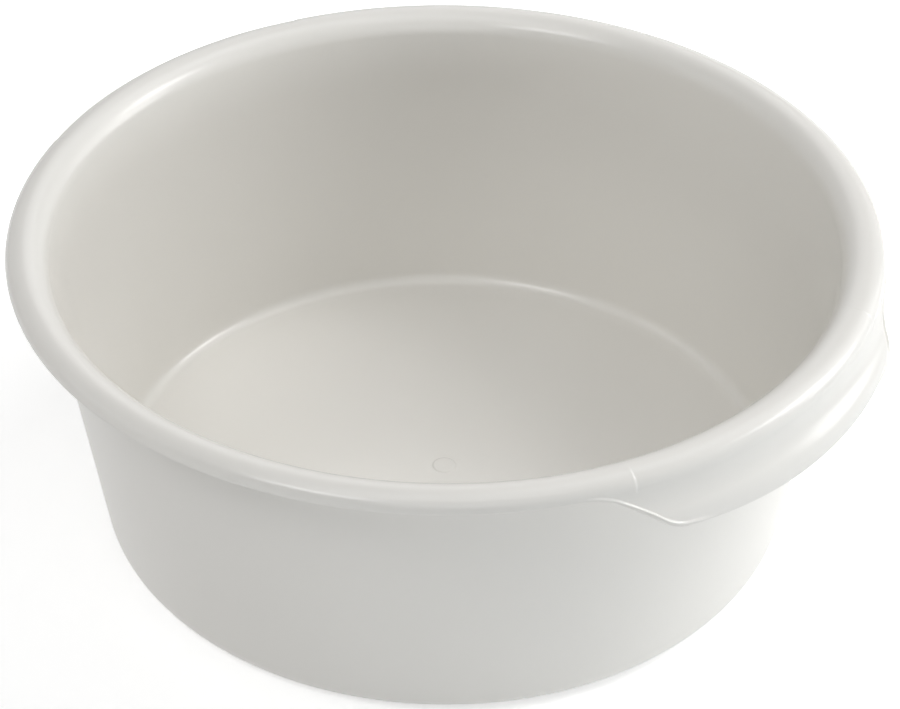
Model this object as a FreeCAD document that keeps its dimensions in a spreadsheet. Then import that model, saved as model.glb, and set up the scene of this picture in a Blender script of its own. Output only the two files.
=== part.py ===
import FreeCAD, Part
import math
import os
import Sketcher

# A round washing up bowl, moulded in one piece, given as the regions of its shell.
# The frame stands on the ground at the bowl's axis, with the grips on +X and -X and the front on -Y.

doc = FreeCAD.newDocument("washing_up_bowl")
sheet = doc.addObject("Spreadsheet::Sheet", "sizes")

# Driving dimensions in millimetres, angles in degrees
DRIVING = {
    "rim_radius": 165.0,      # outer edge of the rim
    "bowl_height": 126.4,     # ground to the crest of the rim
    "wall_thickness": 2.0,
    "wall_lean": 8.0,         # slope of the side wall from upright
    "crest_inset": 6.8,       # rim's crest, in from its outer edge
    "inner_roll": 9.3,        # radius from the wall over the crest
    "outer_roll": 4.4,        # radius from the crest down to the skirt
    "skirt_length": 1.0,      # upright end of the rim below its outer roll
    "edge_share": 0.8,        # rounding of the rim's free edges, of the most that fits
    "floor_height": 7.0,      # top of the floor at its middle
    "dome_radius": 2370.0,
    "floor_fillet": 5.0,      # inside corner
    "corner_radius": 10.0,    # outside corner
    "foot_height": 13.0,      # ground to where the foot ring meets the wall
    "stand_width": 4.0,       # flat the bowl stands on
    "gate_radius": 4.6,       # low round button in the floor's middle, opposite the moulding gate
    "gate_height": 0.4,
    "flare_drop": 6.4,        # crest down to the start of the flare
    "lip_drop": 24.8,         # crest down to the lip's lowest edge
    "lip_reach": 7.3,         # lip's edge beyond the rim
    "lip_round": 13.4,        # both bends of the lip
    "lip_bow": 640.0,         # radius of the lip's lower edge seen from the side
    "run_start": 88.0,        # grip's middle to where its edge leaves the skirt
    "run_round": 16.0,        # both bends of the run from skirt to lip
    "run_slope": 40.0,
    "run_margin": 2.0,        # skirt that a grip keeps beyond its run
}

# Sizes that follow from the driving ones
FOLLOWING = {
    "wall_top_radius": "=rim_radius - crest_inset - inner_roll * cos(wall_lean)",
    "wall_top_height": "=bowl_height - inner_roll * (1 - sin(wall_lean))",
    "wall_foot_radius": "=wall_top_radius - (wall_top_height - foot_height) * tan(wall_lean)",
    "corner_foot_radius": "=wall_foot_radius + (wall_thickness - corner_radius) / cos(wall_lean)"
                          " + (corner_radius - foot_height) * tan(wall_lean)",
    "floor_radius": "=corner_foot_radius - stand_width",
    "turn_height": "=bowl_height - inner_roll"
                   " + sqrt((inner_roll - outer_roll)^2 - (crest_inset - outer_roll)^2)",
    "skirt_drop": "=bowl_height - turn_height + skirt_length",
    "edge_round": "=edge_share * min(wall_thickness / 2; skirt_length)",
    "grip_angle": "=2 * asin((run_start + run_margin) / rim_radius) / 1 deg",
    "rim_angle": "=180 - grip_angle",
}

# how an expression names a size
S = "<<sizes>>."

for row, (alias, value) in enumerate({**DRIVING, **FOLLOWING}.items(), 1):
    sheet.set(f"A{row}", alias)
    sheet.set(f"B{row}", str(value))
    sheet.setAlias(f"B{row}", alias)
doc.recompute()


def size(alias):
    return float(getattr(sheet, alias))


def point(x, y):
    return FreeCAD.Vector(x, y, 0)


def toward(angle):
    return point(math.cos(angle), math.sin(angle))


def origin_item(body, role):
    return next(item for item in body.Origin.OriginFeatures if item.Role == role)


class Outline:
    """A closed sketch drawn edge by edge, each edge starting where the last one ended."""

    def __init__(self, body, name, plane="XZ_Plane"):
        self.sketch = body.newObject("Sketcher::SketchObject", name)
        self.sketch.AttachmentSupport = [(origin_item(body, plane), "")]
        self.sketch.MapMode = "FlatFace"
        self.edges = []

    def line(self, start, end, smooth=False):
        return self._join(self.sketch.addGeometry(Part.LineSegment(start, end)), 1, 2, smooth)

    def arc(self, centre, start, end, leftward, smooth=False):
        first, last = (start, end) if leftward else (end, start)
        angles = [math.atan2(p.y - centre.y, p.x - centre.x) for p in (first, last)]
        circle = Part.Circle(centre, FreeCAD.Vector(0, 0, 1), (start - centre).Length)
        edge = self.sketch.addGeometry(Part.ArcOfCircle(circle, *angles))
        return self._join(edge, 1 if leftward else 2, 2 if leftward else 1, smooth)

    def _join(self, edge, first, last, smooth):
        if self.edges:
            before, _, end = self.edges[-1]
            self.tie("Tangent" if smooth else "Coincident", before, end, edge, first)
        self.edges.append((edge, first, last))
        return edge

    def close(self):
        (start, first, _), (end, _, last) = self.edges[0], self.edges[-1]
        self.tie("Coincident", end, last, start, first)

    def tie(self, kind, *items):
        return self.sketch.addConstraint(Sketcher.Constraint(kind, *items))

    def drive(self, kind, *items, by):
        index = self.tie(kind, *items, self._measure(kind, items))
        self.sketch.setExpression(f"Constraints[{index}]", by)

    def _measure(self, kind, items):
        geometry = self.sketch.Geometry[items[0]]
        if kind == "Radius":
            return geometry.Radius
        if kind == "Distance":
            return geometry.length()
        at = self.sketch.getPoint(*items)
        return at.x if kind == "DistanceX" else at.y

    def across(self, edge, vertex, by):
        self.drive("DistanceX", edge, vertex, by=by)

    def up(self, edge, vertex, by):
        self.drive("DistanceY", edge, vertex, by=by)


def new_body(label, turn=0):
    body = doc.addObject("PartDesign::Body", label)
    body.Label = label
    body.Placement = FreeCAD.Placement(point(0, 0), FreeCAD.Rotation(FreeCAD.Vector(0, 0, 1), turn))
    return body


def revolve(body, outline, name, angle=None):
    turned = body.newObject("PartDesign::Revolution", name)
    turned.Profile = outline.sketch
    turned.ReferenceAxis = (outline.sketch, ["V_Axis"])
    turned.Angle = 360
    if angle:
        turned.Midplane = True
        turned.setExpression("Angle", angle)
    doc.recompute()
    return turned


def round_edges(body, base, names):
    fillet = body.newObject("PartDesign::Fillet", "edge_rounding")
    fillet.Base = (base, names)
    fillet.setExpression("Radius", S + "edge_round")
    doc.recompute()


thickness = size("wall_thickness")
lean = math.radians(size("wall_lean"))
wall_out = toward(-lean)
wall_up = toward(math.pi / 2 - lean)
crest_height = size("bowl_height")
rim_radius = size("rim_radius")
wall_top = point(size("wall_top_radius"), size("wall_top_height"))
wall_foot = point(size("wall_foot_radius"), size("foot_height"))
dome_centre = point(0, size("floor_height") - size("dome_radius"))


def dome_point(across, radius):
    return point(across, dome_centre.y + math.sqrt(radius ** 2 - across ** 2))


# Floor: a shallow dome with the gate's button in its middle
def make_floor():
    body = new_body("floor")
    upper, lower = size("dome_radius"), size("dome_radius") - thickness
    rim_edge = size("floor_radius")
    top, bottom = dome_point(0, upper), dome_point(0, lower)
    edge_top = dome_point(rim_edge, upper)
    edge_bottom = dome_point(rim_edge, lower)
    outline = Outline(body, "floor_section")
    axis = outline.line(bottom, top)
    upper_face = outline.arc(dome_centre, top, edge_top, False)
    outer = outline.line(edge_top, edge_bottom)
    lower_face = outline.arc(dome_centre, edge_bottom, bottom, True)
    outline.close()
    outline.tie("Vertical", axis)
    outline.tie("Vertical", outer)
    outline.tie("Coincident", upper_face, 3, lower_face, 3)
    outline.tie("PointOnObject", upper_face, 3, -2)
    outline.tie("PointOnObject", axis, 2, -2)
    outline.drive("Radius", upper_face, by=S + "dome_radius")
    outline.drive("Distance", axis, by=S + "wall_thickness")
    outline.up(axis, 2, S + "floor_height")
    outline.across(outer, 1, S + "floor_radius")
    disc = revolve(body, outline, "floor_disc")

    button_radius, button_top = size("gate_radius"), size("floor_height") + size("gate_height")
    root = size("floor_height") - thickness / 2
    button = Outline(body, "gate_section")
    corners = [
        point(0, root),
        point(button_radius, root),
        point(button_radius, button_top),
        point(0, button_top),
    ]
    sides = [button.line(start, end) for start, end in zip(corners, corners[1:] + corners[:1])]
    button.close()
    for side, direction in zip(sides, ("Horizontal", "Vertical") * 2):
        button.tie(direction, side)
    button.tie("PointOnObject", sides[0], 1, -2)
    button.up(sides[0], 1, S + "floor_height - " + S + "wall_thickness / 2")
    button.across(sides[1], 2, S + "gate_radius")
    button.up(sides[1], 2, S + "floor_height + " + S + "gate_height")
    marked = revolve(body, button, "gate_button")
    if marked.Shape.Volume <= disc.Shape.Volume:
        raise RuntimeError("the gate's button adds nothing")
    return body


# Foot ring: inside fillet, outside corner and the flat the bowl stands on
def make_foot_ring():
    body = new_body("foot_ring")
    fillet, corner = size("floor_fillet"), size("corner_radius")
    inner_edge = size("floor_radius")
    outer_foot = wall_foot + wall_out * thickness
    # the fillet touches the wall's inner face and the dome
    inner_line = wall_foot - wall_out * fillet
    reach = size("dome_radius") + fillet
    along = inner_line - dome_centre
    drop = along.dot(wall_up) - math.sqrt(along.dot(wall_up) ** 2 - along.Length ** 2 + reach ** 2)
    fillet_centre = inner_line - wall_up * drop
    on_wall = fillet_centre + wall_out * fillet
    on_dome = fillet_centre + (dome_centre - fillet_centre).normalize() * fillet
    # the outer corner touches the wall's outer face and the ground
    outer_line = outer_foot - wall_out * corner
    corner_centre = outer_line - wall_up * ((outer_line.y - corner) / wall_up.y)
    corner_top = corner_centre + wall_out * corner
    corner_bottom = point(corner_centre.x, 0)

    outline = Outline(body, "foot_section")
    joint_side = outline.line(point(inner_edge, 0), dome_point(inner_edge, size("dome_radius")))
    dome = outline.arc(dome_centre, dome_point(inner_edge, size("dome_radius")), on_dome, False)
    inside = outline.arc(fillet_centre, on_dome, on_wall, True, smooth=True)
    inner_face = outline.line(on_wall, wall_foot, smooth=True)
    joint_top = outline.line(wall_foot, outer_foot)
    outer_face = outline.line(outer_foot, corner_top)
    outside = outline.arc(corner_centre, corner_top, corner_bottom, False, smooth=True)
    stand = outline.line(corner_bottom, point(inner_edge, 0), smooth=True)
    outline.close()
    outline.tie("Vertical", joint_side)
    outline.tie("Horizontal", stand)
    outline.tie("PointOnObject", joint_side, 1, -1)
    outline.tie("PointOnObject", dome, 3, -2)
    outline.tie("Parallel", inner_face, outer_face)
    outline.tie("Perpendicular", joint_top, outer_face)
    outline.across(joint_side, 1, S + "floor_radius")
    outline.drive("Radius", dome, by=S + "dome_radius")
    index = outline.tie("DistanceY", dome, 3, -1, 1, -dome_centre.y)
    outline.sketch.setExpression(f"Constraints[{index}]", S + "dome_radius - " + S + "floor_height")
    outline.drive("Radius", inside, by=S + "floor_fillet")
    outline.drive("Radius", outside, by=S + "corner_radius")
    outline.drive("Distance", joint_top, by=S + "wall_thickness")
    outline.across(joint_top, 1, S + "wall_foot_radius")
    outline.up(joint_top, 1, S + "foot_height")
    index = outline.tie("Angle", -2, 1, inner_face, 1, -lean)
    outline.sketch.setExpression(f"Constraints[{index}]", "-" + S + "wall_lean * 1 deg")
    revolve(body, outline, "foot")
    return body


# Side wall: a plain leaning strip from the foot ring to the rim
def make_side_wall():
    body = new_body("side_wall")
    corners = [wall_foot, wall_top, wall_top + wall_out * thickness, wall_foot + wall_out * thickness]
    outline = Outline(body, "wall_section")
    sides = [outline.line(start, end) for start, end in zip(corners, corners[1:] + corners[:1])]
    outline.close()
    inner_face, joint_top, outer_face, joint_foot = sides
    outline.tie("Perpendicular", inner_face, joint_top)
    outline.tie("Perpendicular", inner_face, joint_foot)
    outline.tie("Parallel", inner_face, outer_face)
    outline.drive("Distance", joint_foot, by=S + "wall_thickness")
    outline.across(inner_face, 1, S + "wall_foot_radius")
    outline.up(inner_face, 1, S + "foot_height")
    outline.across(inner_face, 2, S + "wall_top_radius")
    outline.up(inner_face, 2, S + "wall_top_height")
    revolve(body, outline, "wall")
    return body


def roll_over(body, name):
    """The rim's roll, from the wall joint over the crest to where its outer face turns upright."""
    inner, outer = size("inner_roll"), size("outer_roll")
    roll_centre = wall_top + wall_out * inner
    turn_centre = point(rim_radius - outer, size("turn_height"))
    over = (turn_centre - roll_centre).normalize()
    outer_end = point(rim_radius, turn_centre.y)
    inner_end = point(rim_radius - thickness, turn_centre.y)
    wall_outer = wall_top + wall_out * thickness

    outline = Outline(body, name)
    under_turn = outline.arc(turn_centre, inner_end, turn_centre + over * (outer - thickness), True)
    under_roll = outline.arc(roll_centre, roll_centre + over * (inner - thickness), wall_outer,
                             True, smooth=True)
    joint = outline.line(wall_outer, wall_top)
    roll = outline.arc(roll_centre, wall_top, roll_centre + over * inner, False)
    turn = outline.arc(turn_centre, turn_centre + over * outer, outer_end, False, smooth=True)
    end = outline.line(outer_end, inner_end)
    outline.close()
    outline.tie("Coincident", roll, 3, under_roll, 3)
    outline.tie("Coincident", turn, 3, under_turn, 3)
    outline.tie("PointOnObject", roll, 3, joint)
    outline.tie("PointOnObject", turn, 3, end)
    outline.tie("Horizontal", end)
    outline.drive("Radius", roll, by=S + "inner_roll")
    outline.drive("Radius", turn, by=S + "outer_roll")
    outline.drive("Distance", joint, by=S + "wall_thickness")
    outline.across(joint, 2, S + "wall_top_radius")
    outline.up(joint, 2, S + "wall_top_height")
    outline.up(roll, 3, S + "bowl_height - " + S + "inner_roll")
    outline.across(end, 1, S + "rim_radius")
    return outline


# Rim between the grips: the roll ends in a short upright skirt
def make_rim(label, turn):
    body = new_body(label, turn)
    edge_height = crest_height - size("skirt_drop")
    corners = [
        point(rim_radius, size("turn_height")),
        point(rim_radius, edge_height),
        point(rim_radius - thickness, edge_height),
        point(rim_radius - thickness, size("turn_height")),
    ]
    outline = Outline(body, "skirt_section")
    sides = [outline.line(start, end) for start, end in zip(corners, corners[1:] + corners[:1])]
    outline.close()
    for side, direction in zip(sides, ("Vertical", "Horizontal") * 2):
        outline.tie(direction, side)
    outline.across(sides[0], 1, S + "rim_radius")
    outline.up(sides[0], 1, S + "turn_height")
    outline.up(sides[0], 2, S + "bowl_height - " + S + "skirt_drop")
    outline.across(sides[2], 1, S + "rim_radius - " + S + "wall_thickness")
    revolve(body, outline, "skirt", S + "rim_angle")
    ring = revolve(body, roll_over(body, "roll_section"), "roll", S + "rim_angle")
    names = [f"Edge{number}" for number, edge in enumerate(ring.Shape.Edges, 1)
             if isinstance(edge.Curve, Part.Circle) and math.isclose(edge.Curve.Center.z, edge_height)]
    round_edges(body, ring, names)
    return body


# Grip: the skirt runs on into an ogee lip, trimmed at both ends back to the skirt's edge
def make_grip(label, turn):
    body = new_body(label, turn)
    bend = size("lip_round")
    top = point(rim_radius, size("turn_height"))
    start = point(rim_radius, crest_height - size("flare_drop"))
    end = point(rim_radius + size("lip_reach"), crest_height - size("lip_drop"))
    inward = point(-thickness, 0)
    hollow_centre = start + point(bend, 0)
    # the second bend's centre is two radii from the first one's and one radius from the lip's edge
    span = end - hollow_centre
    along = (span.Length ** 2 + 3 * bend ** 2) / (2 * span.Length)
    aside = math.sqrt(4 * bend ** 2 - along ** 2)
    ahead = point(span.x, span.y).normalize()
    swell_centre = hollow_centre + ahead * along + point(ahead.y, -ahead.x) * aside
    between = (swell_centre - hollow_centre).normalize()
    outward = (end - swell_centre).normalize()
    trim = point(outward.y, -outward.x) * size("lip_reach")
    under_end = end - outward * thickness

    outline = Outline(body, "lip_section")
    skirt = outline.line(top, start)
    hollow = outline.arc(hollow_centre, start, hollow_centre + between * bend, True, smooth=True)
    swell = outline.arc(swell_centre, hollow_centre + between * bend, end, False, smooth=True)
    tail = outline.line(end, end + trim, smooth=True)
    tip = outline.line(end + trim, under_end + trim)
    under_tail = outline.line(under_end + trim, under_end)
    under_swell = outline.arc(swell_centre, under_end, swell_centre - between * (bend - thickness),
                              True, smooth=True)
    under_hollow = outline.arc(hollow_centre, hollow_centre + between * (bend + thickness), start + inward,
                               False, smooth=True)
    under_skirt = outline.line(start + inward, top + inward, smooth=True)
    root = outline.line(top + inward, top)
    outline.close()
    outline.tie("Vertical", skirt)
    outline.tie("Vertical", under_skirt)
    outline.tie("Horizontal", root)
    outline.tie("Coincident", hollow, 3, under_hollow, 3)
    outline.tie("Coincident", swell, 3, under_swell, 3)
    outline.tie("Perpendicular", tip, tail)
    outline.tie("Parallel", under_tail, tail)
    outline.tie("Equal", hollow, swell)
    outline.drive("Radius", hollow, by=S + "lip_round")
    outline.drive("Distance", tail, by=S + "lip_reach")
    outline.drive("Distance", root, by=S + "wall_thickness")
    outline.across(skirt, 1, S + "rim_radius")
    outline.up(skirt, 1, S + "turn_height")
    outline.up(skirt, 2, S + "bowl_height - " + S + "flare_drop")
    outline.across(tail, 1, S + "rim_radius + " + S + "lip_reach")
    outline.up(tail, 1, S + "bowl_height - " + S + "lip_drop")
    whole = revolve(body, outline, "lip", S + "grip_angle")

    pocket = body.newObject("PartDesign::Pocket", "lip_trim")
    pocket.Profile = make_lip_trim(body).sketch
    pocket.Type = "ThroughAll"
    pocket.Reversed = True
    mirrored = body.newObject("PartDesign::Mirrored", "lip_trim_both_ends")
    mirrored.Originals = [pocket]
    mirrored.MirrorPlane = (origin_item(body, "XZ_Plane"), [""])
    body.Tip = mirrored
    doc.recompute()
    if mirrored.Shape.Volume >= pocket.Shape.Volume or pocket.Shape.Volume >= whole.Shape.Volume:
        raise RuntimeError("the lip is not trimmed at both ends")
    ring = revolve(body, roll_over(body, "roll_section"), "roll", S + "grip_angle")
    round_edges(body, ring, free_edges(ring.Shape))
    return body


def make_lip_trim(body):
    """The material below the lip's edge, on one half, seen from the grip's side."""
    bow, bend, slope = size("lip_bow"), size("run_round"), math.radians(size("run_slope"))
    low, high = crest_height - size("lip_drop"), crest_height - size("skirt_drop")
    beyond, below = rim_radius, low - size("lip_drop")
    bow_centre = point(0, low + bow)
    upper_centre = point(size("run_start"), high - bend)
    leaving = upper_centre + toward(math.pi / 2 + slope) * bend
    # the lower bend touches the sloping run and the bowed bottom edge
    away = toward(math.pi / 2 + slope)
    line_side = leaving + away * bend
    down = toward(math.pi + slope)
    offset = line_side - bow_centre
    middle = offset.dot(down)
    run = -middle + math.sqrt(middle ** 2 - offset.Length ** 2 + (bow - bend) ** 2)
    lower_centre = line_side + down * run
    arriving = lower_centre - away * bend
    on_bow = bow_centre + (lower_centre - bow_centre).normalize() * bow

    outline = Outline(body, "lip_edge", "YZ_Plane")
    bottom = outline.arc(bow_centre, point(0, low), on_bow, True)
    lower = outline.arc(lower_centre, on_bow, arriving, True, smooth=True)
    ramp = outline.line(arriving, leaving, smooth=True)
    upper = outline.arc(upper_centre, leaving, point(upper_centre.x, high), False, smooth=True)
    ledge = outline.line(point(upper_centre.x, high), point(beyond, high), smooth=True)
    outer = outline.line(point(beyond, high), point(beyond, below))
    base = outline.line(point(beyond, below), point(0, below))
    axis = outline.line(point(0, below), point(0, low))
    outline.close()
    outline.tie("Horizontal", ledge)
    outline.tie("Vertical", outer)
    outline.tie("Horizontal", base)
    outline.tie("Vertical", axis)
    outline.tie("PointOnObject", axis, 2, -2)
    outline.tie("PointOnObject", bottom, 3, -2)
    outline.tie("Equal", lower, upper)
    outline.drive("Radius", bottom, by=S + "lip_bow")
    outline.drive("Radius", upper, by=S + "run_round")
    index = outline.tie("Angle", -1, 1, ramp, 1, slope)
    outline.sketch.setExpression(f"Constraints[{index}]", S + "run_slope * 1 deg")
    outline.up(axis, 2, S + "bowl_height - " + S + "lip_drop")
    outline.across(ledge, 1, S + "run_start")
    outline.up(ledge, 1, S + "bowl_height - " + S + "skirt_drop")
    outline.across(outer, 1, S + "rim_radius")
    outline.up(outer, 2, S + "bowl_height - " + S + "lip_drop * 2")
    return outline


# largest part along X that a trimmed face's unit normal may have
UPRIGHT_SHARE = 1e-6


def free_edges(shape):
    """Edges between a trimmed face, whose normal has no part along X, and the lip's two skins."""
    def trimmed(face):
        low_u, high_u, low_v, high_v = face.ParameterRange
        normal = face.normalAt((low_u + high_u) / 2, (low_v + high_v) / 2)
        return abs(normal.x) < UPRIGHT_SHARE and normal.z < 0
    cut = [face for face in shape.Faces if trimmed(face)]
    skins = [face for face in shape.Faces if not any(face.isSame(other) for other in cut)
             and face.Surface.TypeId != "Part::GeomPlane"]
    names = []
    for number, edge in enumerate(shape.Edges, 1):
        on_cut = any(edge.isSame(item) for face in cut for item in face.Edges)
        on_skin = any(edge.isSame(item) for face in skins for item in face.Edges)
        if on_cut and on_skin:
            names.append(f"Edge{number}")
    return names


bodies = [
    make_floor(),
    make_foot_ring(),
    make_side_wall(),
    make_rim("rim_front", -90),
    make_rim("rim_back", 90),
    make_grip("grip_right", 0),
    make_grip("grip_left", 180),
]
doc.recompute()

for item in doc.Objects:
    if "Invalid" in item.State or "Error" in item.State:
        raise RuntimeError(f"{item.Label} is in state {item.State}")
for body in bodies:
    if body.Shape.isNull() or not body.Shape.isValid() or len(body.Shape.Solids) != 1:
        raise RuntimeError(f"{body.Label} is not one valid solid")

os.makedirs("parts", exist_ok=True)
for body in bodies:
    body.Shape.exportStep(f"parts/{body.Label}.step")
    box = body.Shape.optimalBoundingBox()
    print(f"{body.Label}: {body.Shape.Volume:.0f} mm3, z {box.ZMin:.2f} to {box.ZMax:.2f}, "
          f"x {box.XMin:.2f} to {box.XMax:.2f}, y {box.YMin:.2f} to {box.YMax:.2f}")
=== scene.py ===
import math

import bpy
from mathutils import Matrix, Vector


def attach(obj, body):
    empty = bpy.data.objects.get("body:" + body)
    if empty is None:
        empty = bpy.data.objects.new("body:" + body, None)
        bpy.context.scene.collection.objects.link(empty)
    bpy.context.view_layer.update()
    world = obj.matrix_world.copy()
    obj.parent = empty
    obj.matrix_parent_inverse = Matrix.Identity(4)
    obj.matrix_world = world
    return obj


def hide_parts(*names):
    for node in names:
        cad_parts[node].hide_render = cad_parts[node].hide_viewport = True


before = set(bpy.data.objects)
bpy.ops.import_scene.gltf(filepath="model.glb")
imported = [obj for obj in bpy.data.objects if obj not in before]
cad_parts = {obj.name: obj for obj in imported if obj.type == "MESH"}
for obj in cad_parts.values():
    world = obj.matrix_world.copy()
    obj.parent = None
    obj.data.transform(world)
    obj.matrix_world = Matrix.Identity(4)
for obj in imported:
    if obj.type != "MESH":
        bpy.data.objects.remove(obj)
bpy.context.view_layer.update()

# A round washing up bowl moulded in one shot. Its regions are drawn as one skin, cut where the
# solids meet, with the normals of the whole skin, so that no joint shows.

MM = 0.001

# Sizes in millimetres, and angles, as in the part's source
RIM_RADIUS = 165.0
BOWL_HEIGHT = 126.4
WALL = 2.0
LEAN = math.radians(8.0)
CREST_INSET = 6.8
INNER_ROLL = 9.3
OUTER_ROLL = 4.4
SKIRT_LENGTH = 1.0
FLOOR_HEIGHT = 7.0
DOME_RADIUS = 2370.0
FLOOR_FILLET = 5.0
CORNER_RADIUS = 10.0
FOOT_HEIGHT = 13.0
STAND_WIDTH = 4.0
GATE_RADIUS = 4.6
GATE_HEIGHT = 0.4
FLARE_DROP = 6.4
LIP_DROP = 24.8
LIP_REACH = 7.3
LIP_ROUND = 13.4
LIP_BOW = 640.0
RUN_START = 88.0
RUN_ROUND = 16.0
RUN_SLOPE = math.radians(40.0)
RUN_MARGIN = 2.0

# Small marks of the mould that only the skin has, in millimetres, and in degrees round the rim
GATE_FLANK = 0.9          # width of the gate button's sloping edge
STAND_EDGE = 0.4          # rounding of the stand's inner edge
STEP_BEFORE = 26.0        # degrees from the step down onto the grip's crown to the grip's middle
STEP_AFTER = 20.6         # and from the middle to the step up again
STEP_WIDTH = 0.3          # degrees that a step takes
STEP_DEPTH = 0.18
STEP_FADE = 9.0           # degrees over which the grip's crown comes back up
STEP_RUN = 1.8            # lip length over which the step dies out
STEP_CROWN = math.radians(105.0)     # where on the roll the step begins
STEP_SPREAD = math.radians(45.0)     # and the part of the roll over which it gains its depth
EDGE_BEAD = 0.6           # height of the bead along the climbing part of the lip's edge
BEAD_WIDTH = 1.0
BEAD_FIRST = 18.0         # degrees from the grip's middle where the bead is half risen
BEAD_LAST = 32.0          # and where it is down to half again
BEAD_FADE = 4.0           # degrees over which the bead rises and dies out


def toward(angle):
    return Vector((math.cos(angle), math.sin(angle)))


def angle_of(vector):
    return math.atan2(vector.y, vector.x)


def straight(start, end, count):
    """Points after start, up to and with end."""
    return [start.lerp(end, step / count) for step in range(1, count + 1)]


def arc(centre, radius, first, last, count):
    """Points after the first angle, up to and with the last."""
    angles = [first + (last - first) * step / count for step in range(1, count + 1)]
    return [centre + toward(angle) * radius for angle in angles]


def ease(share):
    """Smooth rise from 0 to 1 as the share goes from 0 to 1."""
    share = min(max(share, 0.0), 1.0)
    return share * share * (3 - 2 * share)


# The section's corners and centres, as radius and height
wall_out = toward(-LEAN)
wall_up = toward(math.pi / 2 - LEAN)
roll_centre = Vector((RIM_RADIUS - CREST_INSET, BOWL_HEIGHT - INNER_ROLL))
wall_top = roll_centre - wall_out * INNER_ROLL
turn_rise = math.sqrt((INNER_ROLL - OUTER_ROLL) ** 2 - (CREST_INSET - OUTER_ROLL) ** 2)
turn_centre = Vector((RIM_RADIUS - OUTER_ROLL, roll_centre.y + turn_rise))
over = angle_of(turn_centre - roll_centre)
turn_length = OUTER_ROLL * over
skirt_height = turn_centre.y - SKIRT_LENGTH
wall_foot = wall_top - wall_up * ((wall_top.y - FOOT_HEIGHT) / wall_up.y)
wall_top_outer = wall_top + wall_out * WALL
wall_foot_outer = wall_foot + wall_out * WALL
dome_centre = Vector((0.0, FLOOR_HEIGHT - DOME_RADIUS))
corner_line = wall_foot_outer - wall_out * CORNER_RADIUS
corner_centre = corner_line - wall_up * ((corner_line.y - CORNER_RADIUS) / wall_up.y)
floor_radius = corner_centre.x - STAND_WIDTH

fillet_line = wall_foot - wall_out * FLOOR_FILLET
fillet_along = fillet_line - dome_centre
fillet_rise = fillet_along.dot(wall_up)
fillet_drop = fillet_rise - math.sqrt(fillet_rise ** 2 - fillet_along.length_squared
                                      + (DOME_RADIUS + FLOOR_FILLET) ** 2)
fillet_centre = fillet_line - wall_up * fillet_drop


def dome_point(across, radius):
    return Vector((across, dome_centre.y + math.sqrt(radius ** 2 - across ** 2)))


# The lip's path: upright skirt, hollow bend, swelling bend, straight tail
hollow_centre = Vector((RIM_RADIUS + LIP_ROUND, BOWL_HEIGHT - FLARE_DROP))
lip_end = Vector((RIM_RADIUS + LIP_REACH, BOWL_HEIGHT - LIP_DROP))
lip_span = lip_end - hollow_centre
lip_along = (lip_span.length_squared + 3 * LIP_ROUND ** 2) / (2 * lip_span.length)
lip_aside = math.sqrt(4 * LIP_ROUND ** 2 - lip_along ** 2)
lip_ahead = lip_span.normalized()
lip_side = Vector((lip_ahead.y, -lip_ahead.x))
swell_centre = hollow_centre + lip_ahead * lip_along + lip_side * lip_aside
skirt_length = turn_centre.y - hollow_centre.y
hollow_turn = angle_of(swell_centre - hollow_centre) + math.pi
swell_first = hollow_turn
swell_turn = (swell_first - angle_of(lip_end - swell_centre)) % (2 * math.pi)


def lip_point(run):
    """Point and outward normal of the lip's outer face at a length down from the rim's turn."""
    if run <= skirt_length:
        return Vector((RIM_RADIUS, turn_centre.y - run)), Vector((1.0, 0.0))
    run -= skirt_length
    if run <= hollow_turn * LIP_ROUND:
        angle = math.pi + run / LIP_ROUND
        return hollow_centre + toward(angle) * LIP_ROUND, -toward(angle)
    run -= hollow_turn * LIP_ROUND
    outward = toward(swell_first - min(run / LIP_ROUND, swell_turn))
    tail = max(run - swell_turn * LIP_ROUND, 0.0)
    return swell_centre + outward * LIP_ROUND + Vector((outward.y, -outward.x)) * tail, outward


def over_point(run):
    """Point and outward normal of the outer face at a length from where the outer turn starts."""
    if run >= turn_length:
        return lip_point(run - turn_length)
    outward = toward(over - run / OUTER_ROLL)
    return turn_centre + outward * OUTER_ROLL, outward


# The lip's lower edge seen from the grip's side
bow_centre = Vector((0.0, BOWL_HEIGHT - LIP_DROP + LIP_BOW))
upper_centre = Vector((RUN_START, skirt_height - RUN_ROUND))
run_away = toward(math.pi / 2 + RUN_SLOPE)
run_down = toward(math.pi + RUN_SLOPE)
run_leaving = upper_centre + run_away * RUN_ROUND
run_offset = run_leaving + run_away * RUN_ROUND - bow_centre
run_middle = run_offset.dot(run_down)
run_reach = run_middle ** 2 - run_offset.length_squared + (LIP_BOW - RUN_ROUND) ** 2
run_length = math.sqrt(run_reach) - run_middle
lower_centre = run_leaving + run_away * RUN_ROUND + run_down * run_length
run_arriving = lower_centre - run_away * RUN_ROUND
bow_end = bow_centre + (lower_centre - bow_centre).normalized() * LIP_BOW


def edge_height(aside):
    """Height and slope of the lip's lower edge at a distance from the grip's middle."""
    aside = abs(aside)
    if aside <= bow_end.x:
        drop = math.sqrt(LIP_BOW ** 2 - aside ** 2)
        return bow_centre.y - drop, aside / drop
    if aside <= run_arriving.x:
        across = aside - lower_centre.x
        drop = math.sqrt(RUN_ROUND ** 2 - across ** 2)
        return lower_centre.y - drop, across / drop
    if aside <= run_leaving.x:
        slope = math.tan(RUN_SLOPE)
        return run_arriving.y + (aside - run_arriving.x) * slope, slope
    if aside <= RUN_START:
        across = aside - upper_centre.x
        drop = math.sqrt(RUN_ROUND ** 2 - across ** 2)
        return upper_centre.y + drop, -across / drop
    return skirt_height, 0.0


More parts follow.
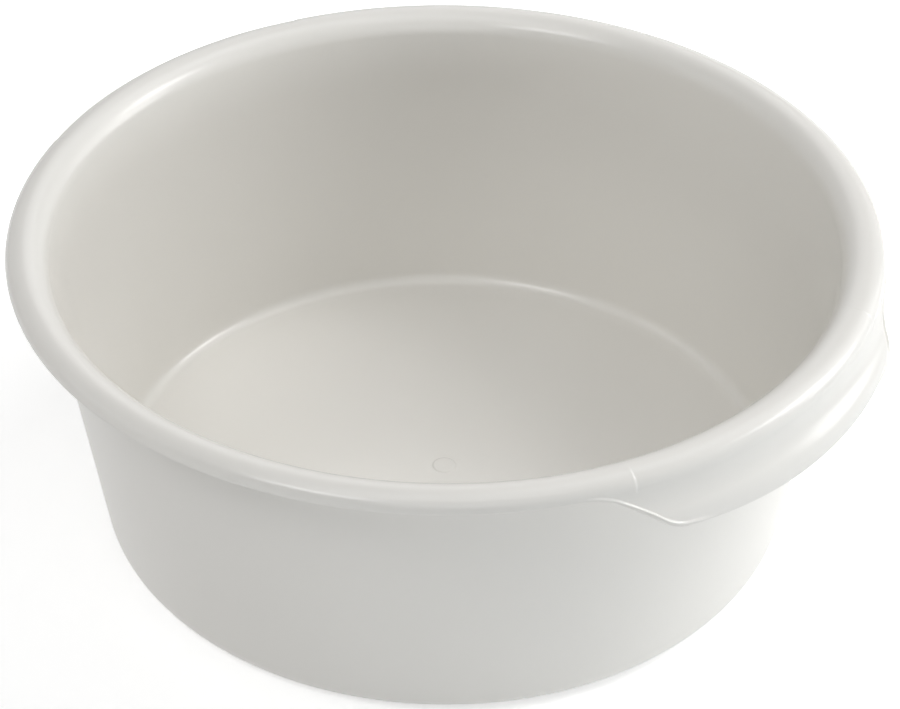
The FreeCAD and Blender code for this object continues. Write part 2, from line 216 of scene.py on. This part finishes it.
ANGLE_DIGITS = 6
GRIP_HALF = round(math.degrees(math.asin((RUN_START + RUN_MARGIN) / RIM_RADIUS)), ANGLE_DIGITS)
SKIRT_RUN = SKIRT_LENGTH - WALL / 2
LONGEST_RUN = 2 * LIP_DROP
HALVINGS = 40


def lip_run(offset):
    """Length of the lip's path at an angle from the grip's middle, found by halving, so that its
    rounded edge touches the cut."""
    if abs(offset) >= math.radians(GRIP_HALF):
        return SKIRT_RUN
    short, long = 0.0, LONGEST_RUN
    for _ in range(HALVINGS):
        run = (short + long) / 2
        place, outward = lip_point(run)
        middle = place - outward * (WALL / 2)
        height, slope = edge_height(middle.x * math.sin(offset))
        if middle.y - WALL / 2 * math.sqrt(1 + slope ** 2) > height:
            short = run
        else:
            long = run
    return max((short + long) / 2, SKIRT_RUN)


# Columns of the skin round the bowl, by degrees from a grip's middle: first, last and about how
# far apart. They are finer where the lip's edge climbs, and finest at the steps.
COLUMN_STRETCHES = [
    (0.0, 16.0, 1.0),
    (16.0, 20.2, 0.42),
    (20.2, 21.0, 0.08),
    (21.0, 25.55, 0.425),
    (25.55, 26.45, 0.08),
    (26.45, GRIP_HALF, 0.4),
    (GRIP_HALF, 90.0, 1.425),
]
GRIP_MIDDLES = (0.0, 180.0)


def quarter():
    offsets = []
    for first, last, apart in COLUMN_STRETCHES:
        count = round((last - first) / apart)
        offsets += [round(first + (last - first) * number / count, ANGLE_DIGITS)
                    for number in range(1, count + 1)]
    return offsets


quarter_turn = quarter()
half_turn = [-offset for offset in reversed(quarter_turn[:-1])] + [0.0] + quarter_turn
columns = [(middle, offset) for middle in GRIP_MIDDLES for offset in half_turn]


def step_share(offset):
    """How deep the grip's crown lies below the rim's, from 0 to 1, at degrees from its middle."""
    inside_step = STEP_AFTER - offset if offset > 0 else STEP_BEFORE + offset
    rise = ease((inside_step + STEP_WIDTH / 2) / STEP_WIDTH)
    return rise * (1 - ease(inside_step / STEP_FADE))


def edge_bead(offset):
    """How far the bead along the lip's edge stands out, at degrees from the grip's middle."""
    aside = abs(offset)
    rise = ease((aside - BEAD_FIRST) / BEAD_FADE + 0.5)
    fall = ease((BEAD_LAST - aside) / BEAD_FADE + 0.5)
    return EDGE_BEAD * rise * fall


# Steps along the section, and the radius of each ring on the floor and under it
BUTTON_STEPS = 8
FLOOR_RINGS = [5.8, 7.5, 10.0, 15.0, 22.0, 31.0, 42.0, 54.0, 67.0, 80.0, 92.0, 103.0, 113.0]
FILLET_STEPS = 9
WALL_STEPS = 12
ROLL_STEPS = 18
OVER_STEPS = 38
BEAD_STEPS = 8
EDGE_STEPS = 8
CORNER_STEPS = 9
STAND_STEPS = 3
JOIN_STEPS = 2
UNDER_RINGS = [112.0, 98.0, 82.0, 64.0, 44.0, 24.0, 10.0, 4.0]


def inside_points():
    """Floor's middle to the wall's foot, and where the floor's disc ends."""
    button_top = DOME_RADIUS + GATE_HEIGHT
    points = [dome_point(0.0, button_top), dome_point(GATE_RADIUS / 2, button_top)]
    for step in range(BUTTON_STEPS + 1):
        share = step / BUTTON_STEPS
        ring = GATE_RADIUS + GATE_FLANK * (share - 0.5)
        points.append(dome_point(ring, DOME_RADIUS + GATE_HEIGHT * (1 - ease(share))))
    points += [dome_point(ring, DOME_RADIUS) for ring in FLOOR_RINGS]
    points.append(dome_point(floor_radius, DOME_RADIUS))
    floor_end = len(points) - 1
    on_dome = fillet_centre + (dome_centre - fillet_centre).normalized() * FLOOR_FILLET
    points += straight(points[-1], on_dome, JOIN_STEPS)
    fillet_first = angle_of(dome_centre - fillet_centre)
    points += arc(fillet_centre, FLOOR_FILLET, fillet_first, -LEAN, FILLET_STEPS)
    points += straight(points[-1], wall_foot, JOIN_STEPS)
    return points, floor_end


def rim_points(offset):
    """Wall's top over the crest, down the skirt or lip, round its edge and back under to the wall,
    and how many of these points the outer face has."""
    dip = STEP_DEPTH * step_share(offset)
    points = []
    for step in range(1, ROLL_STEPS + 1):
        angle = math.pi - LEAN + (over - math.pi + LEAN) * step / ROLL_STEPS
        crown = ease((STEP_CROWN - angle) / STEP_SPREAD)
        points.append(roll_centre + toward(angle) * (INNER_ROLL - dip * crown))
    bead = edge_bead(offset)
    run_end = turn_length + lip_run(math.radians(offset)) - bead / 2
    bead_start = run_end - BEAD_WIDTH
    runs = [bead_start * step / OVER_STEPS for step in range(OVER_STEPS + 1)]
    runs += [bead_start + BEAD_WIDTH * step / BEAD_STEPS for step in range(1, BEAD_STEPS + 1)]
    for run in runs[1:]:
        place, outward = over_point(run)
        swell = bead * ease((run - bead_start) / BEAD_WIDTH)
        sunk = dip * (1 - ease((run - turn_length) / STEP_RUN))
        points.append(place + outward * (swell - sunk))
    outer_lip = len(points)
    place, outward = over_point(run_end)
    across = angle_of(outward)
    edge_radius = (WALL + bead) / 2
    edge_centre = place + outward * (bead - edge_radius)
    points += arc(edge_centre, edge_radius, across, across - math.pi, EDGE_STEPS)
    for run in reversed(runs[:-1]):
        place, outward = over_point(run)
        points.append(place - outward * WALL)
    points += arc(roll_centre, INNER_ROLL - WALL, over, math.pi - LEAN, ROLL_STEPS)
    return points, outer_lip


def outside_points():
    """Wall's outer foot round the corner and the stand to the middle of the floor's underside, and
    where the corner and the stand end."""
    points = [wall_foot_outer]
    corner_start = corner_centre + wall_out * CORNER_RADIUS
    points += straight(wall_foot_outer, corner_start, JOIN_STEPS)
    points += arc(corner_centre, CORNER_RADIUS, -LEAN, -math.pi / 2, CORNER_STEPS)
    corner_end = len(points) - 1
    edge_centre = Vector((floor_radius + STAND_EDGE, STAND_EDGE))
    points += straight(points[-1], Vector((edge_centre.x, 0.0)), JOIN_STEPS)
    points += arc(edge_centre, STAND_EDGE, -math.pi / 2, -math.pi, STAND_STEPS)
    points.append(dome_point(floor_radius, DOME_RADIUS - WALL))
    stand_end = len(points) - 1
    points += [dome_point(ring, DOME_RADIUS - WALL) for ring in UNDER_RINGS]
    points.append(dome_point(0.0, DOME_RADIUS - WALL))
    return points, corner_end, stand_end


# The whole section's rows, and the rows where one region or finish passes into the next
inside, FLOOR_END = inside_points()
FOOT_END = len(inside) - 1
inside += straight(wall_foot, wall_top, WALL_STEPS)
RIM_START = len(inside) - 1
first_rim, outer_lip = rim_points(0.0)
RIM_END = RIM_START + len(first_rim)
LIP_EDGE = RIM_START + outer_lip
outer_wall = straight(wall_top_outer, wall_foot_outer, WALL_STEPS)
below, corner_end, stand_end = outside_points()
WALL_END = RIM_END + WALL_STEPS
CORNER_END = WALL_END + corner_end
STAND_END = WALL_END + stand_end


def section(offset):
    return inside + rim_points(offset)[0] + outer_wall[:-1] + below


half_sections = [section(offset) for offset in half_turn]
ROWS = len(half_sections[0])
COLUMNS = len(columns)


def corner_place(row, column):
    middle, offset = columns[column]
    place = half_sections[column % len(half_turn)][row]
    angle = math.radians(middle + offset)
    return Vector((place.x * math.cos(angle), place.x * math.sin(angle), place.y)) * MM


places = []
corner_number = {}
for row in range(ROWS):
    on_axis = row in (0, ROWS - 1)
    for column in range(COLUMNS):
        if on_axis and column:
            corner_number[row, column] = corner_number[row, 0]
            continue
        corner_number[row, column] = len(places)
        places.append(corner_place(row, column))


def strip_face(row, next_row, column):
    after = (column + 1) % COLUMNS
    corners = [corner_number[row, column], corner_number[next_row, column],
               corner_number[next_row, after], corner_number[row, after]]
    return list(dict.fromkeys(corners))


def skin_normals():
    whole = bpy.data.meshes.new("whole_skin")
    whole.from_pydata(places, [], [strip_face(row, row + 1, column)
                                   for row in range(ROWS - 1) for column in range(COLUMNS)])
    normals = [normal.vector.copy() for normal in whole.vertex_normals]
    bpy.data.meshes.remove(whole)
    return normals


smooth_normals = skin_normals()


# Shared effects of the plastic's surface. Scales are in waves per metre.
GLOSS_CLOUDS = 45.0
TONE_CLOUDS = 14.0
TONE_STREAKS = 60.0
STREAK_SCALE = (1.0, 1.0, 0.2)     # draws the streaks out up the wall
CLOUD_SHARE, STREAK_SHARE = 0.7, 0.3
TONE_LOW, TONE_HIGH = 0.35, 0.65   # noise where the drift of tone starts and is complete
FINE_DETAIL, BROAD_DETAIL = 2.0, 3.0
EVEN_NOISE, ROUGH_NOISE = 0.5, 0.55
MEAN_SUM = 1.0                     # middle of two noises added up


def new_group(name, inputs, outputs):
    group = bpy.data.node_groups.new(name, "ShaderNodeTree")
    for label, kind in inputs:
        group.interface.new_socket(label, in_out="INPUT", socket_type=kind)
    for label, kind in outputs:
        group.interface.new_socket(label, in_out="OUTPUT", socket_type=kind)
    return group, group.nodes.new("NodeGroupInput"), group.nodes.new("NodeGroupOutput")


def add(tree, kind, **settings):
    node = tree.nodes.new(kind)
    for name, value in settings.items():
        setattr(node, name, value)
    return node


def feed(tree, socket, value):
    """Sets a socket to a number, or links it to another node's output."""
    if isinstance(value, (int, float)):
        socket.default_value = value
    else:
        tree.links.new(value, socket)


def set_inputs(node, values):
    for label, value in values.items():
        node.inputs[label].default_value = value


def noise(tree, place, scale, detail, roughness=EVEN_NOISE):
    node = add(tree, "ShaderNodeTexNoise")
    tree.links.new(place, node.inputs["Vector"])
    feed(tree, node.inputs["Scale"], scale)
    set_inputs(node, {"Detail": detail, "Roughness": roughness})
    return node.outputs["Fac"]


def sums(tree, operation, first, second):
    node = add(tree, "ShaderNodeMath", operation=operation)
    feed(tree, node.inputs[0], first)
    feed(tree, node.inputs[1], second)
    return node.outputs[0]


def seen_plainly(tree):
    """1 to the camera and in reflections, and 0 for the light that falls on the bowl."""
    path = add(tree, "ShaderNodeLightPath")
    return sums(tree, "MAXIMUM", path.outputs["Is Camera Ray"], path.outputs["Is Glossy Ray"])


def mould_grain():
    """Fine pebbling that the mould's spark finish leaves, and the gloss that changes with it."""
    group, given, result = new_group(
        "mould_grain",
        [("Grain per metre", "NodeSocketFloat"), ("Gloss change", "NodeSocketFloat"),
         ("Roughness", "NodeSocketFloat")],
        [("Height", "NodeSocketFloat"), ("Roughness", "NodeSocketFloat")])
    place = add(group, "ShaderNodeTexCoord").outputs["Object"]
    fine = noise(group, place, given.outputs["Grain per metre"], FINE_DETAIL)
    broad = noise(group, place, GLOSS_CLOUDS, BROAD_DETAIL)
    group.links.new(fine, result.inputs["Height"])
    drift = sums(group, "SUBTRACT", sums(group, "ADD", fine, broad), MEAN_SUM)
    swing = sums(group, "MULTIPLY", drift, given.outputs["Gloss change"])
    roughness = sums(group, "ADD", swing, given.outputs["Roughness"])
    group.links.new(roughness, result.inputs["Roughness"])
    return group


def melt_drift():
    """Faint clouds of tone in the melt, with streaks drawn out up the wall."""
    group, given, result = new_group(
        "melt_drift",
        [("Plain", "NodeSocketColor"), ("Drifted", "NodeSocketColor"),
         ("Strength", "NodeSocketFloat")],
        [("Colour", "NodeSocketColor")])
    place = add(group, "ShaderNodeTexCoord").outputs["Object"]
    clouds = noise(group, place, TONE_CLOUDS, BROAD_DETAIL, ROUGH_NOISE)
    streak_place = add(group, "ShaderNodeMapping")
    set_inputs(streak_place, {"Scale": STREAK_SCALE})
    group.links.new(place, streak_place.inputs["Vector"])
    streaks = noise(group, streak_place.outputs[0], TONE_STREAKS, FINE_DETAIL)
    cloud_part = sums(group, "MULTIPLY", clouds, CLOUD_SHARE)
    streak_part = sums(group, "MULTIPLY", streaks, STREAK_SHARE)
    mixed = sums(group, "ADD", cloud_part, streak_part)
    spread = add(group, "ShaderNodeMapRange", interpolation_type="SMOOTHSTEP")
    group.links.new(mixed, spread.inputs["Value"])
    set_inputs(spread, {"From Min": TONE_LOW, "From Max": TONE_HIGH})
    amount = sums(group, "MULTIPLY", spread.outputs[0], given.outputs["Strength"])
    blend = add(group, "ShaderNodeMix", data_type="RGBA")
    group.links.new(amount, blend.inputs["Factor"])
    group.links.new(given.outputs["Plain"], blend.inputs["A"])
    group.links.new(given.outputs["Drifted"], blend.inputs["B"])
    group.links.new(blend.outputs["Result"], result.inputs["Colour"])
    return group


grain_group = mould_grain()
drift_group = melt_drift()

PALE_STONE = (0.815, 0.799, 0.761, 1.0)
PALE_STONE_SHADE = (0.792, 0.775, 0.733, 1.0)
PLASTIC_IOR = 1.49
GRAIN_DEPTH = 0.05 * MM


def plastic(name, drift, roughness, gloss_change, grain, relief):
    material = bpy.data.materials.new(name)
    material.use_nodes = True
    tree = material.node_tree
    shader = tree.nodes["Principled BSDF"]
    tone = add(tree, "ShaderNodeGroup", node_tree=drift_group)
    set_inputs(tone, {"Plain": PALE_STONE, "Drifted": PALE_STONE_SHADE, "Strength": drift})
    tree.links.new(tone.outputs["Colour"], shader.inputs["Base Color"])
    surface = add(tree, "ShaderNodeGroup", node_tree=grain_group)
    set_inputs(surface, {"Grain per metre": grain, "Gloss change": gloss_change,
                         "Roughness": roughness})
    tree.links.new(surface.outputs["Roughness"], shader.inputs["Roughness"])
    bump = add(tree, "ShaderNodeBump")
    set_inputs(bump, {"Strength": relief, "Distance": GRAIN_DEPTH})
    tree.links.new(surface.outputs["Height"], bump.inputs["Height"])
    tree.links.new(bump.outputs["Normal"], shader.inputs["Normal"])
    set_inputs(shader, {"IOR": PLASTIC_IOR})
    return material


# Finishes: name, drift of tone, roughness, change of gloss, grain per metre, relief of the grain
FINISHES = [
    ("bowl_plastic_polished", 0.15, 0.22, 0.01, 2200.0, 0.1),
    ("bowl_plastic_satin", 0.15, 0.34, 0.012, 1800.0, 0.18),
    ("bowl_plastic_underside", 0.3, 0.5, 0.04, 1500.0, 0.4),
]
POLISHED, SATIN, UNDERSIDE = range(len(FINISHES))
finishes = [plastic(*finish) for finish in FINISHES]


def finish_of(row):
    """Which of the three finishes the strip after this row has."""
    if row < LIP_EDGE:
        return POLISHED
    if RIM_END <= row < CORNER_END:
        return SATIN
    return UNDERSIDE


def put_in_scene(name, data):
    holder = bpy.data.objects.new(name, data)
    bpy.context.scene.collection.objects.link(holder)
    return holder


def make_region(name, node, runs, first=0, last=None):
    """A closed piece of the skin: runs of rows, joined by flat joint faces, over a stretch of
    columns, or all round where no last column is given."""
    whole_turn = last is None
    stretch = range(COLUMNS) if whole_turn else [column % COLUMNS for column in range(first, last)]
    rows = [row for start, end in runs for row in range(start, end + 1)]
    closed = rows[-1] != ROWS - 1
    pairs = zip(rows, rows[1:] + rows[:1] if closed else rows[1:])
    faces, finish, joint = [], [], []
    for row, next_row in pairs:
        for column in stretch:
            faces.append(strip_face(row, next_row, column))
            finish.append(finish_of(row) if next_row == row + 1 else UNDERSIDE)
            joint.append(next_row != row + 1)
    if not whole_turn:
        faces.append([corner_number[row, first % COLUMNS] for row in reversed(rows)])
        faces.append([corner_number[row, last % COLUMNS] for row in rows])
        finish += [UNDERSIDE] * 2
        joint += [True] * 2
    used = sorted({corner for face in faces for corner in face})
    renumbered = {corner: number for number, corner in enumerate(used)}
    mesh = bpy.data.meshes.new(name)
    mesh.from_pydata([places[corner] for corner in used], [],
                     [[renumbered[corner] for corner in face] for face in faces])
    for material in finishes:
        mesh.materials.append(material)
    mesh.polygons.foreach_set("material_index", finish)
    mesh.shade_smooth()
    normals = []
    for polygon, face, flat in zip(mesh.polygons, faces, joint):
        normals += [polygon.normal.copy() if flat else smooth_normals[corner] for corner in face]
    mesh.normals_split_custom_set(normals)
    mesh.update()
    piece = put_in_scene(name, mesh)
    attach(piece, "root")
    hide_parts(node)


# The seven regions, each on the rows and columns of its solid
grip_columns = [number for number, (_, offset) in enumerate(columns) if abs(offset) == GRIP_HALF]
right_first, right_last, left_first, left_last = grip_columns
rim_rows = [(RIM_START, RIM_END)]
make_region("floor_skin", "floor", [(0, FLOOR_END), (STAND_END, ROWS - 1)])
make_region("foot_ring_skin", "foot_ring", [(FLOOR_END, FOOT_END), (WALL_END, STAND_END)])
make_region("side_wall_skin", "side_wall", [(FOOT_END, RIM_START), (RIM_END, WALL_END)])
make_region("grip_right_skin", "grip_right", rim_rows, right_first, right_last)
make_region("rim_back_skin", "rim_back", rim_rows, right_last, left_first)
make_region("grip_left_skin", "grip_left", rim_rows, left_first, left_last)
make_region("rim_front_skin", "rim_front", rim_rows, left_last, right_first + COLUMNS)


# Pale floor: white to the camera and in reflections, and it keeps the bowl's shadow
WHITE = (1.0, 1.0, 1.0, 1.0)
GROUND_RADIUS = 0.85
GROUND_SIDES = 96
GROUND_DROP = 0.05 * MM      # keeps the ground clear of the stand
GROUND_TONE = (0.93, 0.93, 0.93, 1.0)
GROUND_ROUGHNESS = 0.9
GROUND_LIFT = 0.46           # brings the lit ground up to white where it is seen


def make_ground():
    mesh = bpy.data.meshes.new("ground")
    edge = [toward(math.tau * side / GROUND_SIDES) * GROUND_RADIUS for side in range(GROUND_SIDES)]
    mesh.from_pydata([(place.x, place.y, -GROUND_DROP) for place in edge], [],
                     [list(range(GROUND_SIDES))])
    material = bpy.data.materials.new("pale_ground")
    material.use_nodes = True
    tree = material.node_tree
    shader = tree.nodes["Principled BSDF"]
    set_inputs(shader, {"Base Color": GROUND_TONE, "Roughness": GROUND_ROUGHNESS,
                        "Specular IOR Level": 0.0, "Emission Color": WHITE})
    lift = sums(tree, "MULTIPLY", seen_plainly(tree), GROUND_LIFT)
    tree.links.new(lift, shader.inputs["Emission Strength"])
    mesh.materials.append(material)
    ground = put_in_scene("ground", mesh)


make_ground()

# Camera at the photograph's place: metres, and millimetres for the lens and its sensor
CAMERA_AZIMUTH = math.radians(-49.0)
CAMERA_ELEVATION = math.radians(37.1065)
CAMERA_DISTANCE = 1.0929
CAMERA_AIM = Vector((0.0, 0.0, 0.06292))
CAMERA_SENSOR = 36.0
CAMERA_LENS = 112.04
CAMERA_ROLL = math.radians(0.316)
CAMERA_SHIFT = 0.00565

# Lights: name, degrees round from the camera and up, width and height in metres, watts, colour
PLAIN_LIGHT = (1.0, 1.0, 1.0)
COOL_LIGHT = (0.9, 0.955, 1.0)
SOFT_LIGHTS = [
    ("right_window", 100.0, 27.0, 0.6, 1.3, 10.5, PLAIN_LIGHT),
    ("right_pane", 102.0, 38.0, 0.35, 0.35, 2.3, PLAIN_LIGHT),
    ("right_back_tall", 120.0, 27.0, 0.6, 1.3, 3.0, PLAIN_LIGHT),
    ("back_high", 140.0, 60.0, 0.8, 0.8, 3.6, PLAIN_LIGHT),
    ("back", 180.0, 35.0, 0.8, 0.8, 1.8, PLAIN_LIGHT),
    ("overhead", 0.0, 88.0, 0.8, 0.8, 2.4, PLAIN_LIGHT),
    ("left_overhead", -61.0, 70.0, 0.45, 0.45, 1.1, PLAIN_LIGHT),
    ("left_window", -90.0, 35.0, 0.8, 0.8, 1.9, PLAIN_LIGHT),
    ("front_left_high", -38.0, 54.0, 0.6, 0.45, 4.9, PLAIN_LIGHT),
    ("front", 0.0, 35.0, 0.8, 0.8, 2.4, PLAIN_LIGHT),
]
# Low fill for the outer wall, kept out of reflections so that it draws no streaks on the lip
FILL_LIGHTS = [
    ("low_front_right", 42.0, 4.0, 0.9, 0.2, 5.4, COOL_LIGHT),
    ("low_right", 95.0, 4.0, 0.8, 0.2, 2.1, COOL_LIGHT),
    ("low_left", -75.0, 6.0, 0.9, 0.3, 3.5, PLAIN_LIGHT),
]
LIGHT_DISTANCE = 1.6
LIGHT_AIM = Vector((0.0, 0.0, 0.06))


def outward_from_bowl(azimuth, elevation):
    return Vector((math.cos(elevation) * math.cos(azimuth),
                   math.cos(elevation) * math.sin(azimuth), math.sin(elevation)))


def make_light(name, azimuth, elevation, width, height, watts, colour):
    lamp = bpy.data.lights.new(name, "AREA")
    lamp.shape = "RECTANGLE"
    lamp.size, lamp.size_y = width, height
    lamp.energy = watts
    lamp.color = colour
    back = outward_from_bowl(CAMERA_AZIMUTH + math.radians(azimuth), math.radians(elevation))
    holder = put_in_scene(name, lamp)
    holder.location = LIGHT_AIM + back * LIGHT_DISTANCE
    holder.rotation_mode = "QUATERNION"
    holder.rotation_quaternion = (-back).to_track_quat("-Z", "Y")
    return holder


for light in SOFT_LIGHTS:
    make_light(*light)
for light in FILL_LIGHTS:
    make_light(*light).visible_glossy = False

world = bpy.data.worlds.new("studio")
world.use_nodes = True
sky = world.node_tree.nodes["Background"]
world.node_tree.links.new(seen_plainly(world.node_tree), sky.inputs["Strength"])
set_inputs(sky, {"Color": WHITE})
bpy.context.scene.world = world
bpy.context.scene.view_settings.view_transform = "Standard"

lens = bpy.data.cameras.new("camera")
lens.sensor_width = CAMERA_SENSOR
lens.lens = CAMERA_LENS
lens.shift_x = CAMERA_SHIFT
camera = put_in_scene("camera", lens)
camera_back = outward_from_bowl(CAMERA_AZIMUTH, CAMERA_ELEVATION)
facing = (-camera_back).to_track_quat("-Z", "Y").to_matrix().to_4x4()
turned = facing @ Matrix.Rotation(CAMERA_ROLL, 4, "Z")
camera.matrix_world = Matrix.Translation(CAMERA_AIM + camera_back * CAMERA_DISTANCE) @ turned
bpy.context.scene.camera = camera
